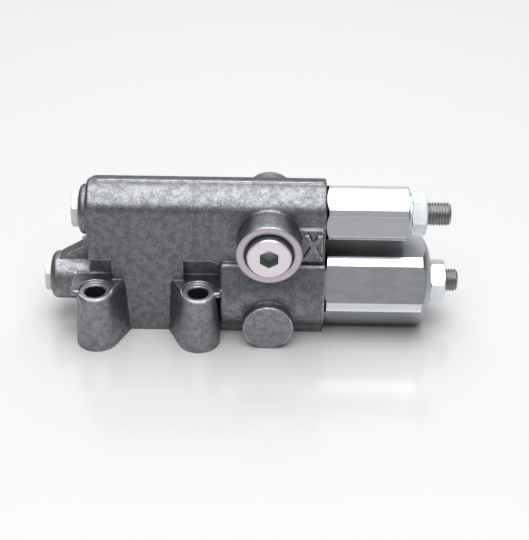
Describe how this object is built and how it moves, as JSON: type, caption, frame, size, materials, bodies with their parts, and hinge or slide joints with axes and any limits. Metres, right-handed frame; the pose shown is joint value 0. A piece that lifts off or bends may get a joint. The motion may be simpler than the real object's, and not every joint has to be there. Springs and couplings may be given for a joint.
{
  "type": "hydraulic control valve",
  "caption": "Cast hydraulic control valve with stacked flow and pressure spools, hexagon spring sleeves with lock nuts and adjusting screws, and lugs to bolt it on a manifold.",
  "frame": {"origin": "centre of the four bolt holes on the mounting face", "axes": "+X along the spools towards the adjusting screws, +Z away from the mounting face, Y = 0 on the parting plane of the casting"},
  "size_m": [0.1436, 0.0466, 0.0552],
  "materials": {
    "cast_iron": "as-cast grey iron, fine grain, machined port and mounting faces",
    "bright_steel": "drawn hexagon bar, bright turned corners, faintly mottled flats",
    "zinc_nut": "pale bluish zinc plating",
    "zinc_plug": "pale zinc plating",
    "screw_steel": "dark oiled steel thread",
    "ground_steel": "hardened and ground steel",
    "spring_steel": "oiled spring steel",
    "seal_rubber": "nitrile rubber",
    "brass": "turned brass"
  },
  "bodies": {
    "housing": {"housing": "cast_iron", "x_port_plug": "zinc_plug", "x_port_seal": "seal_rubber", "pilot_orifice": "brass", "face_seal_rings": "seal_rubber", "flow_end_plug": "zinc_plug", "flow_plug_seal": "seal_rubber", "pressure_end_plug": "zinc_plug", "pressure_plug_seal": "seal_rubber", "flow_sleeve": "bright_steel", "flow_sleeve_seal": "seal_rubber", "pressure_sleeve": "bright_steel", "pressure_sleeve_seal": "seal_rubber", "flow_spring": "spring_steel", "pressure_outer_spring": "spring_steel", "pressure_inner_spring": "spring_steel"},
    "flow_spool": {"flow_spool": "ground_steel", "flow_spool_seat": "ground_steel"},
    "pressure_spool": {"pressure_spool": "ground_steel", "pressure_spool_seat": "ground_steel"},
    "flow_spring_seat": {"flow_spring_seat": "ground_steel", "flow_seat_seal": "seal_rubber"},
    "pressure_spring_seat": {"pressure_spring_seat": "ground_steel", "pressure_seat_seal": "seal_rubber"},
    "flow_adjusting_screw": {"flow_adjusting_screw": "screw_steel"},
    "pressure_adjusting_screw": {"pressure_adjusting_screw": "screw_steel"},
    "flow_nut_washer": {"flow_nut_washer": "zinc_nut"},
    "pressure_nut_washer": {"pressure_nut_washer": "zinc_nut"},
    "flow_lock_nut": {"flow_lock_nut": "zinc_nut"},
    "pressure_lock_nut": {"pressure_lock_nut": "zinc_nut"}
  },
  "joints": [
    {"name": "flow_spool_slide", "type": "slide", "parent": "housing", "child": "flow_spool", "axis": [1, 0, 0], "range_m": [0, 0.0025], "stiffness_N_per_m": 6000, "springref_m": -0.002, "deforming": ["flow_spring"]},
    {"name": "pressure_spool_slide", "type": "slide", "parent": "housing", "child": "pressure_spool", "axis": [1, 0, 0], "range_m": [0, 0.0025], "stiffness_N_per_m": 20000, "springref_m": -0.003, "deforming": ["pressure_outer_spring", "pressure_inner_spring"]},
    {"name": "flow_adjuster_travel", "type": "slide", "parent": "housing", "child": "flow_spring_seat", "axis": [1, 0, 0], "range_m": [-0.002, 0.001], "deforming": ["flow_spring"]},
    {"name": "flow_adjuster_turn", "type": "hinge", "parent": "flow_spring_seat", "child": "flow_adjusting_screw", "pos_m": [0.08, 0, 0.0434], "axis": [1, 0, 0], "range_deg": [-720, 360]},
    {"name": "pressure_adjuster_travel", "type": "slide", "parent": "housing", "child": "pressure_spring_seat", "axis": [1, 0, 0], "range_m": [-0.002, 0.001], "deforming": ["pressure_outer_spring", "pressure_inner_spring"]},
    {"name": "pressure_adjuster_turn", "type": "hinge", "parent": "pressure_spring_seat", "child": "pressure_adjusting_screw", "pos_m": [0.09, 0, 0.0162], "axis": [1, 0, 0], "range_deg": [-720, 360]},
    {"name": "flow_lock_nut_travel", "type": "slide", "parent": "housing", "child": "flow_nut_washer", "axis": [1, 0, 0], "range_m": [0, 0.001]},
    {"name": "flow_lock_nut_turn", "type": "hinge", "parent": "flow_nut_washer", "child": "flow_lock_nut", "pos_m": [0.09, 0, 0.0434], "axis": [1, 0, 0], "range_deg": [0, 360]},
    {"name": "pressure_lock_nut_travel", "type": "slide", "parent": "housing", "child": "pressure_nut_washer", "axis": [1, 0, 0], "range_m": [0, 0.001]},
    {"name": "pressure_lock_nut_turn", "type": "hinge", "parent": "pressure_nut_washer", "child": "pressure_lock_nut", "pos_m": [0.1, 0, 0.0162], "axis": [1, 0, 0], "range_deg": [0, 360]}
  ],
  "couplings": [
    {"joint": "flow_adjuster_turn", "follows": "flow_adjuster_travel", "rad_per_m": 6283.2},
    {"joint": "pressure_adjuster_turn", "follows": "pressure_adjuster_travel", "rad_per_m": 6283.2},
    {"joint": "flow_lock_nut_turn", "follows": "flow_lock_nut_travel", "rad_per_m": 6283.2},
    {"joint": "pressure_lock_nut_turn", "follows": "pressure_lock_nut_travel", "rad_per_m": 6283.2}
  ]
}
